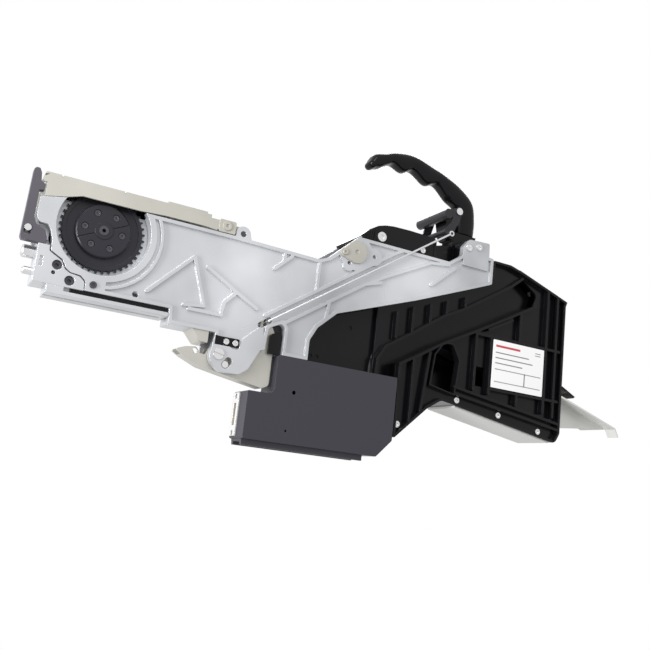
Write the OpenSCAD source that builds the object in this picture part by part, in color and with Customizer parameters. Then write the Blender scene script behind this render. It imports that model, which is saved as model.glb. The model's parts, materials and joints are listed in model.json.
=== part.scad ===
// Electric tape feeder for a surface-mount placement machine, for tape 32 mm wide.
// Side views are drawn about the sprocket's axis: x runs to the rear, z up, and y across
// the feeder from the near face of the casting. The part's own origin is at the upper
// locating pin, where the machine holds the feeder.

/* [Tape and sprocket] */
// Width of the carrier tape
tape_w = 32; // [24:4:44]
// Teeth on the sprocket, one for each 4 mm feed hole
sprocket_teeth = 40; // [38:1:42]
// Thickness of the sprocket's toothed disc
disc_t = 2; // [1.6:0.1:2.4]
// Diameter of the sprocket's shaft
shaft_d = 6; // [5:0.5:7]
// Radius of the sprocket's hub plate
hub_r = 17; // [15:0.5:18]

/* [Feed drive] */
// Module of the feed gears
gear_module = 0.8; // [0.7:0.05:0.85]
// Teeth on the gear beside the sprocket
gear_teeth = 52; // [48:1:54]
// Teeth on the motor's pinion
pinion_teeth = 14; // [13:1:18]
// Face width of the feed gears
gear_t = 3; // [2:0.5:3.5]
// Diameter of the feed motor
motor_d = 22; // [16:1:24]

/* [Main casting] */
// Thickness of the main casting over its ribs
frame_t = 5; // [4.6:0.1:5.6]
// Height of the ribs and rims above the casting's web
rib_h = 1.6; // [1:0.1:2.2]
// Width of a casting rib
rib_w = 2.4; // [1.6:0.2:3]
// Thickness of the far side plate
far_t = 2.5; // [2:0.5:4]
// Diameter of the posts that tie the two sides together
post_d = 8; // [6:1:10]

/* [Nose, pins and rail] */
// Depth of the nose block across the feeder
nose_depth = 20; // [18:1:24]
// Diameter of the upper locating pin
upper_pin_d = 8; // [6:0.5:9]
// Free length of the upper locating pin
upper_pin_l = 8; // [6:0.5:12]
// Diameter of the lower locating pin
lower_pin_d = 4.8; // [4:0.2:6]
// Free length of the lower locating pin
lower_pin_l = 6; // [4:0.5:9]
// Thickness of the bottom rail
rail_t = 2.5; // [2:0.25:3]

/* [Clamp lever] */
// Thickness of the clamp lever's sheet
lever_t = 1.8; // [1.4:0.2:2.4]
// Width of the clamp lever across the feeder
lever_w = 11; // [9:1:13]
// Diameter of the clamp lever's pivot
clamp_pin_d = 6; // [5:0.5:7]

/* [Handle and trigger] */
// Thickness of the handle's grip across the feeder
grip_w = 14; // [12:1:20]
// Diameter of the trigger's finger bar
finger_bar_d = 7.6; // [6:0.4:9]
// Thickness of the trigger's side plates
trigger_t = 2; // [1.4:0.2:2.6]
// Diameter of the trigger's pivot pin
trigger_pin_d = 4; // [3:0.5:5]
// Diameter of the release rod
rod_d = 1.6; // [1.4:0.2:2.2]

/* [Electronics box] */
// Depth of the electronics box across the feeder
box_depth = 23; // [18:1:28]
// Thickness of the box's sheet metal
sheet_t = 1.2; // [0.8:0.1:1.6]
// Height of the runner under the box
runner_h = 4; // [3:0.5:6]

/* [Rear body] */
// Wall of the moulded rear covers
wall = 1.8; // [1.4:0.1:2.2]
// Width of a moulded rib
cover_rib = 2; // [1.4:0.1:2.4]
// Depth of the diagonal channel below the cover's face
channel_depth = 13; // [10:0.5:15]
// Length of the rating plate
label_l = 51; // [44:1:52]
// Height of the rating plate
label_h = 37.5; // [30:0.5:38]

/* [Tape guide] */
// Sheet thickness of the tape guide
guide_t = 1.2; // [0.8:0.1:1.4]
// Gap for the tape between the deck and the guide
tape_gap_z = 1; // [0.8:0.1:1.6]

/* [Peel unit and panel] */
// Diameter of the driven peel roller
peel_d = 14; // [12:0.5:15]
// Diameter of the pinch roller
pinch_d = 6; // [5:0.5:7]
// Diameter of a push button
button_d = 8; // [6:0.5:9]
// Travel of a push button
button_travel = 1.2; // [0.6:0.2:1.6]

/* [Clearances] */
// Radial clearance of pins and shafts
fit = 0.05; // [0.02:0.01:0.08]
// Gap beside a moving piece
run_gap = 0.4; // [0.3:0.1:0.6]

/* [Hidden] */
$fn = 48;

// Standard 4 mm pitch of the tape's feed holes, and the holes' distance from its edge
hole_pitch = 4;
hole_edge = 1.75;
// Side play of the tape
tape_play = 0.25;
body_w = frame_t + tape_w + 2 * tape_play + far_t;
far_y = body_w - far_t;
tooth_y = frame_t + tape_play + hole_edge;
web_y = rib_h;

pitch_r = sprocket_teeth * hole_pitch / (2 * PI);
tip_r = pitch_r + 0.95;
root_r = pitch_r - 0.9;
window_r = tip_r + 2.5;
hub_y = tooth_y - 3.6;
disc_y0 = tooth_y - disc_t / 2;
disc_y1 = tooth_y + disc_t / 2;
deck_z = pitch_r - 0.55;
deck_t = 1.5;
guide_z0 = deck_z + tape_gap_z;
guide_z1 = guide_z0 + guide_t;

gear_y0 = disc_y1 + 1.3;
gear_y1 = gear_y0 + gear_t;
motor_plate_y = gear_y1 + 1;
motor_plate_t = 2;
gear_gap = gear_module * (gear_teeth + pinion_teeth) / 2;
pinion_a = -35;
pinion_at = [gear_gap * cos(pinion_a), gear_gap * sin(pinion_a)];

// Side-view places of what turns, fits or fastens
pin_x = -36.5;
pin_y = 10;
upper_pin_z = -21.5;
lower_pin_z = -33;
clamp_at = [83.5, -63];
stop_at = [89, -69];
rod_low = [115, -35];
rod_high = [255.6, 61.2];
rod_y = -rod_d / 2 - 0.3;
trigger_at = [262, 81];
finger_at = [253, 77.4];
lower_bar_at = [252.6, 63];
hinge_at = [89.5, 19.5];
latch_at = [-44, -9.5];
peel_at = [198, 43.5];
pinch_at = peel_at - (peel_d / 2 + pinch_d / 2 + 0.3) * [cos(15), sin(15)];
round_at = [176, 27.5];
lever_y0 = frame_t + run_gap;
lever_y1 = lever_y0 + lever_w;
bracket_y0 = lever_y1 + run_gap;
bracket_t = 2;
rail_depth = max(nose_depth + 0.7, bracket_y0 + bracket_t);
handle_y0 = body_w / 2 - grip_w / 2;
handle_y1 = body_w / 2 + grip_w / 2;
arm_top_z = 39.4;
cover_y0 = 0.8;
cover_wall_y = frame_t + 0.2;
mid_y = body_w / 2;
bevel_n = 4;

// ---------- shared shapes ----------

// Puts the drawing's frame, about the sprocket's axis, at the upper locating pin
module placed() translate([-pin_x, -pin_y, -upper_pin_z]) children();

// A flat piece drawn in the side view by its 2D children, from depth y0 to depth y1
module slab(y0, y1)
    translate([0, y1, 0]) rotate([90, 0, 0]) linear_extrude(y1 - y0) children();

// The same for one outline given as points
module plate(points, y0, y1) slab(y0, y1) polygon(points);

// A round bar, or the cutter for a round hole, across the feeder
module bar(at, r, y0, y1) {
    translate([at.x, y1, at.y]) rotate([90, 0, 0]) cylinder(r = r, h = y1 - y0);
}

// Outline of a straight rib of width w between two points, with round ends
function rib_outline(a, b, w, n = 6) =
    let (t = atan2(b.y - a.y, b.x - a.x), r = w / 2)
    concat(
        [for (k = [0:n]) b + r * [cos(t - 90 + 180 * k / n), sin(t - 90 + 180 * k / n)]],
        [for (k = [0:n]) a + r * [cos(t + 90 + 180 * k / n), sin(t + 90 + 180 * k / n)]]);
module strip(a, b, w, y0, y1) plate(rib_outline(a, b, w), y0, y1);

// Ribs along a line of points, in the side view
module rib_line(points, w)
    for (i = [0:len(points) - 2]) polygon(rib_outline(points[i], points[i + 1], w));

// Outline of a curved rib about the sprocket's axis, from angle a0 to a1
function arc_band(r0, r1, a0, a1, n = 16) = concat(
    [for (k = [0:n]) let (a = a0 + (a1 - a0) * k / n) r1 * [cos(a), sin(a)]],
    [for (k = [n:-1:0]) let (a = a0 + (a1 - a0) * k / n) r0 * [cos(a), sin(a)]]);

// A disc in the side view
module disc(at, r) translate(at) circle(r = r);

// A box given by its two corners
module block(low, high) translate(low) cube(high - low);

function unit(v) = v / norm(v);
function turned(a) = a > 180 ? a - 360 : a < -180 ? a + 360 : a;

// One corner of an outline, rounded to radius r, between its neighbours a and b
function corner(a, p, b, r) =
    let (
        u = unit(a - p), v = unit(b - p), half = acos(max(-1, min(1, u * v))) / 2,
        cut = min(r / tan(half), 0.48 * min(norm(a - p), norm(b - p))),
        rr = cut * tan(half), c = p + unit(u + v) * rr / sin(half),
        p0 = p + u * cut, p1 = p + v * cut,
        a0 = atan2(p0.y - c.y, p0.x - c.x), sweep = turned(atan2(p1.y - c.y, p1.x - c.x) - a0)
    )
    [for (k = [0:bevel_n]) c + rr * [cos(a0 + sweep * k / bevel_n), sin(a0 + sweep * k / bevel_n)]];

// An outline from [x, z, radius] entries; a radius of 0 keeps the corner sharp
function rounded(list) = [
    for (i = [0:len(list) - 1])
        let (
            n = len(list), q = list[i], p = [q[0], q[1]],
            a = list[(i + n - 1) % n], b = list[(i + 1) % n]
        )
        each (q[2] == 0 ? [p] : corner([a[0], a[1]], p, [b[0], b[1]], q[2]))
];

// A clockwise outline moved inward by d, its corners kept sharp
function inset(list, d) = [
    for (i = [0:len(list) - 1])
        let (
            n = len(list), a = list[(i + n - 1) % n], b = list[i], c = list[(i + 1) % n],
            u = unit([b[0] - a[0], b[1] - a[1]]), v = unit([c[0] - b[0], c[1] - b[1]]),
            nu = [u.y, -u.x], nv = [v.y, -v.x]
        )
        [b[0], b[1]] + (nu + nv) * d / (1 + nu * nv)
];

// Half of a gear tooth's angle at radius r, for a 20 degree involute
function involute(r, base) = let (a = acos(min(1, base / r))) tan(a) * 180 / PI - a;
function half_tooth(r, teeth, m, backlash) =
    let (rp = m * teeth / 2, base = rp * cos(20))
    90 / teeth - backlash / 2 / rp * 180 / PI + involute(rp, base) - involute(max(r, base), base);
function gear_outline(teeth, m, backlash = 0.12) =
    let (
        rp = m * teeth / 2, rf = rp - 1.25 * m, ra = rp + m,
        radii = [rf, max(rf + 0.1, rp * cos(20)), rp, (rp + ra) / 2, ra]
    )
    [
        for (i = [0:teeth - 1])
            let (c = 360 * i / teeth)
            each concat(
                [for (r = radii) let (h = half_tooth(r, teeth, m, backlash))
                    r * [cos(c - h), sin(c - h)]],
                [for (j = [len(radii) - 1:-1:0])
                    let (r = radii[j], h = half_tooth(r, teeth, m, backlash))
                    r * [cos(c + h), sin(c + h)]])
    ];

// A Catmull-Rom curve through control points, with n steps for each span
function curve_at(p, i, t) =
    let (
        n = len(p), a = p[max(i - 1, 0)], b = p[i], c = p[min(i + 1, n - 1)],
        d = p[min(i + 2, n - 1)]
    )
    0.5 * (2 * b + (c - a) * t + (2 * a - 5 * b + 4 * c - d) * t * t
        + (3 * b - a - 3 * c + d) * t * t * t);
function curve(p, n) = concat(
    [for (i = [0:len(p) - 2], k = [0:n - 1]) curve_at(p, i, k / n)], [p[len(p) - 1]]);

// ---------- main casting ----------

frame_corners = [
    [-40.5, -1, 1], [-40.5, 11, 1], [-25, 14.2, 3], [-15, 17, 3], [84, 17, 0], [102, 16.6, 0],
    [147.5, 15.6, 8], [155, 19, 8], [179, 41, 2, "step"], [179, arm_top_z, 0], [257, arm_top_z, 0],
    [263, 43.6, 0], [267.5, 46.6, 0], [269, 48.5, 0], [269, 55, 3], [274, 61.5, 4],
    [293.5, 62.5, 1], [294, 51.4, 0], [298.5, 51, 1], [298.5, 30.5, 2], [280, 23, 0],
    [230.5, 3.5, 0], [174.5, -16.5, 6], [166, -19.5, 4], [152, -32.5, 6], [147, -42, 6],
    [147, -56, 0], [128, -56, 0], [128, -38, 3], [125.5, -34.8, 3], [116, -39.5, 3],
    [115, -54.8, 0], [112, -55.5, 0], [105, -69.5, 8], [99, -74, 6], [84.5, -74.2, 8],
    [77, -67, 9], [78.5, -59, 3], [79.5, -51, 0], [79.5, -49.5, 0], [48, -49.5, 2],
    [47, -40, 0], [-6, -40, 0], [-6, -34.5, 3], [-9.5, -31.4, 2], [-15.5, -30.8, 2],
    [-18.5, -29, 2], [-21.5, -24, 2], [-29, -20, 2], [-29.2, -14.5, 2], [-31, -8, 3],
    [-33, -4.8, 2], [-38.5, -4.6, 3]];
frame_outline = rounded(frame_corners);
// The rim inside the outline leaves out the corners marked as small steps
rim_corners = [for (c = frame_corners) if (len(c) == 3) c];

// Raised ribs of the casting, as lines of points
frame_ribs = [
    [[31.5, -32], [59, -3.4], [69.5, -34], [56, -35.6]],
    [[68.5, -8], [90.5, -20.5], [83, -28.5], [81.6, -36]],
    [[90.5, -20.5], [106, -28.5]],
    [[115, 1.6], [127, 13]], [[121.5, 8], [121.5, 14.5]],
    [[148.4, -7], [148.4, 14]],
    [[112.5, -31.6], [209, 34.6], [216, arm_top_z - 1]],
    [[128, -33.4], [186, 6], [203, 15.6], [240.5, 34.6], [257, 36.8]],
    [[199, 10], [186, 6]], [[242.5, 18], [263, 35.6]],
    [[145.8, -54], [145.8, -42], [158, -24.5], [159, -12]],
    [[60, -37.6], [82, -37.6]]];

// Raised rims, lands and ribs on the casting's near side
module frame_relief() intersection() {
    polygon(frame_outline);
    union() {
        difference() {
            polygon(frame_outline);
            polygon(inset(rim_corners, rib_w));
        }
        disc([0, 0], window_r + 4);
        // arc rib round the sprocket window
        polygon(arc_band(window_r + 6.4, window_r + 8.4, -100, 27));
        polygon([[-45, -45], [-45, 16], [-10, 17.5], [0, 0], [6, -30], [6, -45]]);
        // boss of the round cover, with its two ears
        disc(round_at, 13.5);
        disc([191, 27.5], 6.5);
        polygon(rib_outline(round_at, [191, 27.5], 12.6));
        polygon(rib_outline(round_at, [171, 17], 9));
        // lobe that carries the clamp lever
        polygon([[78, -58], [84, -58], [96, -58], [99, -50], [112, -38], [114.5, -54], [104, -70],
            [98, -73.8], [85, -74], [77.5, -67]]);
        disc([clamp_at.x + 1.5, clamp_at.y - 1.5], 9.5);
        // operator-side block behind the handle
        polygon([[269.4, 40], [269.6, 55], [274.2, 61], [293.2, 62], [293.6, 40]]);
        for (line = frame_ribs) rib_line(line, rib_w);
    }
}

// Arc slot for the clamp lever's stop pin
stop_reach = 22;
stop_r = norm(stop_at - clamp_at);
stop_a = atan2(stop_at.y - clamp_at.y, stop_at.x - clamp_at.x);
function arc_at(r, a) = clamp_at + r * [cos(a), sin(a)];
function arc_slot(hw, n = 8) = concat(
    [for (k = [0:n]) arc_at(stop_r + hw, stop_a + stop_reach * k / n)],
    [for (k = [1:n - 1]) arc_at(stop_r, stop_a + stop_reach)
        + hw * [cos(stop_a + stop_reach + 180 * k / n), sin(stop_a + stop_reach + 180 * k / n)]],
    [for (k = [n:-1:0]) arc_at(stop_r - hw, stop_a + stop_reach * k / n)],
    [for (k = [1:n - 1]) arc_at(stop_r, stop_a)
        + hw * [cos(stop_a + 180 + 180 * k / n), sin(stop_a + 180 + 180 * k / n)]]);

// Collar behind the sprocket's window, with a thin flange behind the teeth
collar_y = disc_y1 + 1;
module window_collar() difference() {
    bar([0, 0], window_r + 2, frame_t, collar_y);
    bar([0, 0], window_r, frame_t - 1, collar_y - 0.6);
    bar([0, 0], root_r + 0.3, collar_y - 1, collar_y + 1);
    block([-40, frame_t - 1, 15], [40, collar_y + 1, 40]);
}

module main_frame() color([0.80, 0.81, 0.82]) placed() difference() {
    union() {
        plate(frame_outline, web_y, frame_t);
        slab(0, web_y) frame_relief();
        // ear of the tape guide's hinge
        slab(0, frame_t) {
            disc(hinge_at, 5.2);
            polygon([[hinge_at.x - 5.2, 16], [hinge_at.x - 5.2, hinge_at.y],
                [hinge_at.x + 5.2, hinge_at.y], [hinge_at.x + 6.5, 16]]);
        }
        window_collar();
    }
    bar([0, 0], window_r, -1, frame_t + 1);
    // the guide's hinge arm turns behind the ear
    slab(2, frame_t + 1) {
        disc(hinge_at, 5.8);
        polygon([[62, 14.4], [hinge_at.x, 14.4], [hinge_at.x, 26], [62, 26]]);
    }
    bar(hinge_at, 2, -1, frame_t);
    // gauge hole, clamp pivot, rod slot and stop slot
    bar([25, -35.5], 2, -1, frame_t + 1);
    bar(clamp_at, clamp_pin_d / 2, -1, frame_t + 1);
    strip(rod_low + [1.5, 1], rod_low - [4.5, 3.4], rod_d + 2.4, -1, frame_t + 1);
    plate(arc_slot(2.6), -1, frame_t + 1);
    // holes for the posts' screws and the handle's screws
    for (p = post_places) bar(p, 1.3, web_y + 0.8, frame_t + 1);
    for (p = handle_screw_places) bar(p, 1.6, -1, frame_t + 1);
    for (p = nose_screw_places) bar(p, 1.6, -1, frame_t + 1);
    for (p = round_holes) bar(p, 1.4, -1, frame_t + 1);
    // recess of the clamp strip
    block([79.9, -1, -57], [97, web_y, -51]);
}

post_places = [[40, -24], [66, -26], [100, -10], [140, -6], [206, 22], [240, 26]];
handle_screw_places = [[274, 54.5], [283.5, 57]];
nose_screw_places = [[-1.5, -35.6]];
round_holes = [[171, 18.5], [191, 27.5]];

far_outline = rounded([[-38, -6, 2], [-38, 15, 2], [-20, 16.8, 0], [84, 16.8, 0], [150, 16.8, 6],
    [179, 39.2, 2], [257, 39.2, 0], [268, 48, 0], [268, 60, 3], [293, 61, 3],
    [293, 34, 3], [262, 14, 8], [200, -10, 6], [156, -28, 6], [150, -54, 3],
    [120, -54, 3], [100, -30, 6], [-30, -30, 4]]);
arm_y = body_w - guide_t - run_gap;
module far_frame() color([0.70, 0.71, 0.73]) placed() difference() {
    union() {
        plate(far_outline, far_y, body_w);
        slab(far_y, arm_y) {
            disc(hinge_at, 5.2);
            polygon([[hinge_at.x - 5.2, 16], [hinge_at.x - 5.2, hinge_at.y],
                [hinge_at.x + 5.2, hinge_at.y], [hinge_at.x + 6.5, 16]]);
        }
        // boss of the shaft's far bearing
        bar([0, 0], bearing_r + 2, far_y - bearing_t, far_y);
    }
    bar([0, 0], bearing_r, far_y - bearing_t - 1, far_y);
    bar([0, 0], shaft_d / 2 + 1, far_y - 1, body_w + 1);
    bar(hinge_at, 2, far_y - 1, body_w + 1);
    // the guide's far skirt and arm turn outside the plate
    slab(arm_y, body_w + 1) {
        disc(hinge_at, 6);
        polygon([[-42, 10], [hinge_at.x, 10], [hinge_at.x, 30], [-42, 30]]);
    }
    for (p = post_places) bar(p, 1.6, far_y - 1, body_w + 1);
    // lightening pockets right through
    slab(far_y - 1, body_w + 1) {
        polygon(rounded([[110, -8, 3], [110, 8, 3], [130, 8, 3], [130, -8, 3]]));
        polygon(rounded([[176, 2, 3], [200, 12, 3], [200, 34, 3], [184, 34, 3], [166, 18, 3]]));
    }
}

module frame_posts() color("silver") placed() for (p = post_places) difference() {
    bar(p, post_d / 2, frame_t, far_y);
    bar(p, 1.3, frame_t - 1, frame_t + 9);
    bar(p, 1.3, far_y - 9, far_y + 1);
}

// ---------- nose, pins and rail ----------

nose_gap = 0.5;
module nose_block() color([0.78, 0.79, 0.80]) placed() difference() {
    union() {
        plate(rounded([[pin_x, -17.2, 0], [pin_x, -40.3, 1], [-6.5, -40.3, 0], [-6.5, -35, 3],
            [-10, -32.2, 2], [-16, -31.4, 2], [-19.2, -29.6, 2], [-22, -24.8, 2],
            [-29.8, -20.6, 2], [-30, -17.2, 0]]), 0, nose_depth);
        // tongue behind the casting
        block([-20, frame_t, -40.3], [3, nose_depth, -31]);
        // tab that carries the front latch
        block([-46.2, frame_t + run_gap, -13.2], [-31, frame_t + run_gap + 4, -5]);
        block([pin_x, frame_t + run_gap, -20], [-31, nose_depth, -15]);
    }
    for (p = nose_hole_places) {
        bar(p, 1.6, -1, nose_depth + 1);
        bar(p, 3, -1, 4);
    }
    bar([-25.5, -33], 1.2, -1, 8);
    bar(latch_at, 2, frame_t - 1, frame_t + run_gap + 5);
    bar(nose_screw_places[0], 1.3, frame_t - 1, frame_t + 9);
    // seats of the two locating pins
    translate([pin_x - 1, pin_y, upper_pin_z]) rotate([0, 90, 0]) cylinder(r = 2.5, h = 11);
    translate([pin_x - 1, pin_y, lower_pin_z]) rotate([0, 90, 0]) cylinder(r = 1.5, h = 8.5);
    // slot for the fitter's gauge
    block([-34.4, -1, -30.5], [-32.6, 1, -24.5]);
}
nose_hole_places = [[-24, -28], [-15.5, -36]];

// A locating pin: a free head on a shank that sits in the nose
module locating_pin(d, free, shank_r, shank_l, z) {
    translate([pin_x, pin_y, z]) rotate([0, -90, 0]) {
        cylinder(d = d, h = free - 1);
        translate([0, 0, free - 1]) cylinder(d1 = d, d2 = d - 2, h = 1);
        translate([0, 0, -shank_l]) cylinder(r = shank_r, h = shank_l + 0.1);
    }
}
module upper_locating_pin() color("gainsboro") placed()
    locating_pin(upper_pin_d, upper_pin_l, 2.5, 9.5, upper_pin_z);
module lower_locating_pin() color("gainsboro") placed()
    locating_pin(lower_pin_d, lower_pin_l, 1.5, 7, lower_pin_z);

// A cap screw with a hexagon recess, its head's face at depth y
module cap_screw(at, head_r, head_t, shank_r, shank_l, y) difference() {
    union() {
        bar(at, head_r, y, y + head_t);
        bar(at, shank_r, y + head_t - 0.1, y + head_t + shank_l);
    }
    translate([at.x, y + head_t * 0.6, at.y]) rotate([90, 0, 0])
        cylinder(r = head_r * 0.5, h = head_t, $fn = 6);
}

// The same screw seen from the far side, its head's face at depth y
module far_screw(at, head_r, head_t, shank_r, shank_l, y)
    translate([0, 2 * y, 0]) mirror([0, 1, 0]) cap_screw(at, head_r, head_t, shank_r, shank_l, y);

module nose_screws() color("dimgray") placed() {
    for (p = nose_hole_places) cap_screw(p, 2.6, 2.4, 1.5, nose_depth - 5, 1.6);
    cap_screw(nose_screw_places[0], 2.2, 0.8, 1.2, 11, -0.8);
}

module bottom_rail() color([0.78, 0.79, 0.80]) placed() difference() {
    union() {
        block([-28, 0, -43 - rail_t], [47.1, rail_depth, -43]);
        block([-28, 0, -43.1], [-18, nose_depth, -40.3]);
        // base behind the casting, between the rail and the clamp lever's bracket
        block([30, frame_t, -43.1], [96, rail_depth, -38]);
        block([48.4, frame_t, -49.5], [79.5, rail_depth, -43]);
        // far ear of the clamp lever's pivot
        plate([[clamp_at.x - 9, -40], [clamp_at.x - 7, clamp_at.y], [clamp_at.x + 7, clamp_at.y],
            [clamp_at.x + 11, -40]], bracket_y0, bracket_y0 + bracket_t);
        bar(clamp_at, 7, bracket_y0, bracket_y0 + bracket_t);
    }
    // the clamp lever's sheet passes in front of the ear
    bar(clamp_at, clamp_pin_d / 2, bracket_y0 - 1, bracket_y0 + bracket_t + 1);
    // guide groove along the rail's underside
    block([-29, 8, -44 - rail_t], [44, 12, -42.6 - rail_t]);
    // clearance round the sprocket's drive
    block([76, frame_t - 1, -52], [96.5, bracket_y0, -44]);
}

module clamp_jaw() color([0.55, 0.54, 0.50]) placed() difference() {
    plate([[64, -49.5], [70.5, -56.8], [75.4, -57], [75.4, -49.5]], 1, rail_depth - 1);
    block([60, -1, -60], [80, 0.9, -48]);
}

module clamp_strip() color([0.08, 0.08, 0.09]) placed() difference() {
    plate(rounded([[80, -56.9, 0.8], [80, -51.2, 0.8], [96.8, -51.2, 0.8], [96.8, -56.9, 0.8]]),
        0.2, web_y);
    for (p = strip_screw_places) bar(p, 1.2, -1, 4);
}
strip_screw_places = [[87.5, -54.2], [93.8, -54.2]];
// Black guard in the slot beside the clamp lever's upright
module cable_guard() color([0.07, 0.07, 0.08]) placed()
    plate(rounded([[119, -56.2, 0], [119, -42.5, 3], [127.3, -40.5, 2], [127.3, -56.2, 0]]),
        frame_t - 2.6, frame_t - 0.6);
module strip_screws() color("silver") placed()
    for (p = strip_screw_places) cap_screw(p, 1.9, 0.9, 1.1, 0.5, -0.7);

// ---------- clamp lever and release ----------

lever_side = rounded([
    [56.2, -63.6, 1], [62.5, -61, 2], [69.8, -59.8, 2], [73, -63.8, 2], [76.6, -64.3, 2],
    [79, -58, 4], [84, -56.5, 4], [90, -58, 4], [96, -66, 6], [109.4, -67.4, 3],
    [109.4, -46, 3], [112.2, -39, 3], [112.2, -31.5, 3], [117.8, -31.5, 3], [123.2, -42, 3],
    [123.2, -77, 3], [118.5, -79.6, 2], [91, -75, 3], [74, -72, 3], [62, -67, 3]]);

// Long eye for the rod's crossed end, which slides down as the lever turns
eye_travel = 7.4;
module clamp_lever() color([0.60, 0.59, 0.56]) placed() difference() {
    union() {
        plate(lever_side, lever_y0, lever_y0 + lever_t);
        plate(lever_side, lever_y1 - lever_t, lever_y1);
        // floor and back of the folded sheet
        slab(lever_y0 + lever_t, lever_y1 - lever_t) intersection() {
            polygon(lever_side);
            union() {
                rib_line([[62, -67.2], [74, -72], [91, -75], [118.5, -79.6]], 2 * lever_t);
                rib_line([[123.2, -76], [123.2, -46]], 2 * lever_t);
            }
        }
    }
    bar(clamp_at, clamp_pin_d / 2 + fit, lever_y0 - 1, lever_y1 + 1);
    bar(stop_at, 2.2, lever_y0 - 1, lever_y0 + lever_t + 1);
    bar([69.5, -62.6], 1.8, lever_y0 - 1, lever_y1 + 1);
    strip(rod_low + [0, 1], rod_low - [0, eye_travel], rod_d + 0.6, lever_y0 - 1, lever_y1 + 1);
}

module clamp_pivot_screw() color([0.66, 0.66, 0.66]) placed() difference() {
    union() {
        bar(clamp_at, clamp_pin_d / 2, -0.5, bracket_y0 + bracket_t + 0.6);
        bar(clamp_at, clamp_pin_d / 2 + 0.6, -0.9, -0.4 + 0.3);
    }
    translate([clamp_at.x, 0, clamp_at.y]) rotate([0, 12, 0])
        block([-5, -2, -0.45], [5, 0, 0.45]);
}

module clamp_stop_pin() color("silver") placed()
    bar(stop_at, 2.2, 0.3, lever_y0 + lever_t);

module release_rod() color("silver") placed() {
    r = rod_d / 2;
    d = rod_high - rod_low;
    difference() {
        union() {
            translate([rod_low.x, rod_y, rod_low.y]) rotate([0, 90 - atan2(d.y, d.x), 0])
                cylinder(r = r, h = norm(d));
            bar(rod_high, 2.2, rod_y - r, rod_y + r);
        }
        bar(rod_high, 1 + fit, rod_y - r - 1, rod_y + r + 1);
    }
    translate([rod_low.x, rod_y, rod_low.y]) sphere(r = r);
    bar(rod_low, r, rod_y, lever_y1 + 1.2);
}

elbow = [259.6, 72];
module trigger_side(y0, extra) slab(y0, y0 + trigger_t) difference() {
    union() {
        polygon(rib_outline(trigger_at, finger_at, 6.4));
        polygon(rib_outline(trigger_at, elbow, 6.6));
        polygon(rib_outline(elbow, lower_bar_at, 5));
        if (extra) polygon(rib_outline(elbow, rod_high, 4.4));
    }
    disc(trigger_at, trigger_pin_d / 2 + fit);
}

module trigger() color([0.20, 0.20, 0.21]) placed() {
    trigger_side(0.3, true);
    trigger_side(body_w - trigger_t - 0.3, false);
    bar(finger_at, finger_bar_d / 2, 0.2, body_w - 0.2);
    bar(lower_bar_at, 2.1, 0.2, body_w - 0.2);
    bar(rod_high, 1, rod_y - rod_d / 2 - 0.2, 0.6);
}

module trigger_pin() color("gainsboro") placed() {
    bar(trigger_at, trigger_pin_d / 2, -0.2, body_w + 0.2);
    bar(trigger_at, trigger_pin_d / 2 + 0.8, -1, -0.1);
    bar(trigger_at, trigger_pin_d / 2 + 0.8, body_w + 0.1, body_w + 1);
}

// ---------- handle ----------

// Back and finger side of the grip, from the tip to the foot
grip_back = [[188.6, 108], [192, 113.6], [201, 116.4], [209, 119.6], [221, 122.2], [231, 121.6],
    [246, 118.2], [257, 114.6], [272.4, 108.8], [285.8, 98.4], [289.6, 83], [289.2, 69]];
grip_front = [[194, 103.2], [198, 104.4], [204, 108.2], [210, 110.4], [219, 107], [228, 110.2],
    [241, 103], [250.4, 105.2], [262, 95.8], [271, 91], [270.5, 82], [270.2, 69]];
grip_steps = 5;
grip_sides = 24;

function soft(v, e) = sign(v) * pow(abs(v), e);
function grip_ring(b, f, size, shift) =
    let (c = (b + f) / 2 + shift, up = (b - f) / 2)
    [for (k = [0:grip_sides - 1])
        let (a = 360 * k / grip_sides, s = c + up * size * soft(sin(a), 0.8))
        [s.x, body_w / 2 + grip_w / 2 * size * soft(cos(a), 0.7), s.y]];

module handle_grip() color([0.05, 0.05, 0.06]) placed() {
    back = curve(grip_back, grip_steps);
    front = curve(grip_front, grip_steps);
    out = unit((back[0] + front[0]) / 2 - (back[2] + front[2]) / 2);
    caps = [[0.35, 4], [0.65, 3.3], [0.88, 1.9]];
    rings = concat(
        [for (c = caps) grip_ring(back[0], front[0], c[0], out * c[1])],
        [for (i = [0:len(back) - 1]) grip_ring(back[i], front[i], 1, [0, 0])]);
    n = grip_sides;
    last = len(rings) - 1;
    polyhedron(
        points = [for (r = rings) each r],
        faces = concat(
            [[for (k = [0:n - 1]) k]],
            [for (i = [0:last - 1], k = [0:n - 1])
                [i * n + k, (i + 1) * n + k, (i + 1) * n + (k + 1) % n, i * n + (k + 1) % n]],
            [[for (k = [n - 1:-1:0]) last * n + k]]));
}

module handle_post() color([0.06, 0.06, 0.07]) placed() difference() {
    union() {
        slab(handle_y0, handle_y1) {
            polygon(rounded([[267, 43, 0], [267, 62, 2], [263, 69, 0], [269.6, 69, 0],
                [289.2, 69, 0], [287.6, 64, 2], [287.6, 43, 0]]));
            disc(trigger_at, 5);
            // foot that fills the gap to the top cover
            polygon([[246.4, 40.2], [246.4, 52.4], [257, 55.4], [268, 57], [268, 44], [262, 40.2]]);
            polygon(rib_outline(trigger_at, [265.6, 66], 7.6));
        }
        plate([[268.5, 43], [268.5, 58], [271, 60.5], [290, 60.5], [290, 43]], frame_t, far_y);
    }
    bar(trigger_at, trigger_pin_d / 2, 0, body_w);
    for (p = handle_screw_places) bar(p, 1.3, frame_t - 1, frame_t + 8);
    // cored underside
    block([271, frame_t + 3, 42], [284, far_y - 3, 56]);
}

module handle_screws() color([0.75, 0.75, 0.74]) placed()
    for (p = handle_screw_places) cap_screw(p, 2.6, 0.9, 1.2, 10, -0.9);

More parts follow.
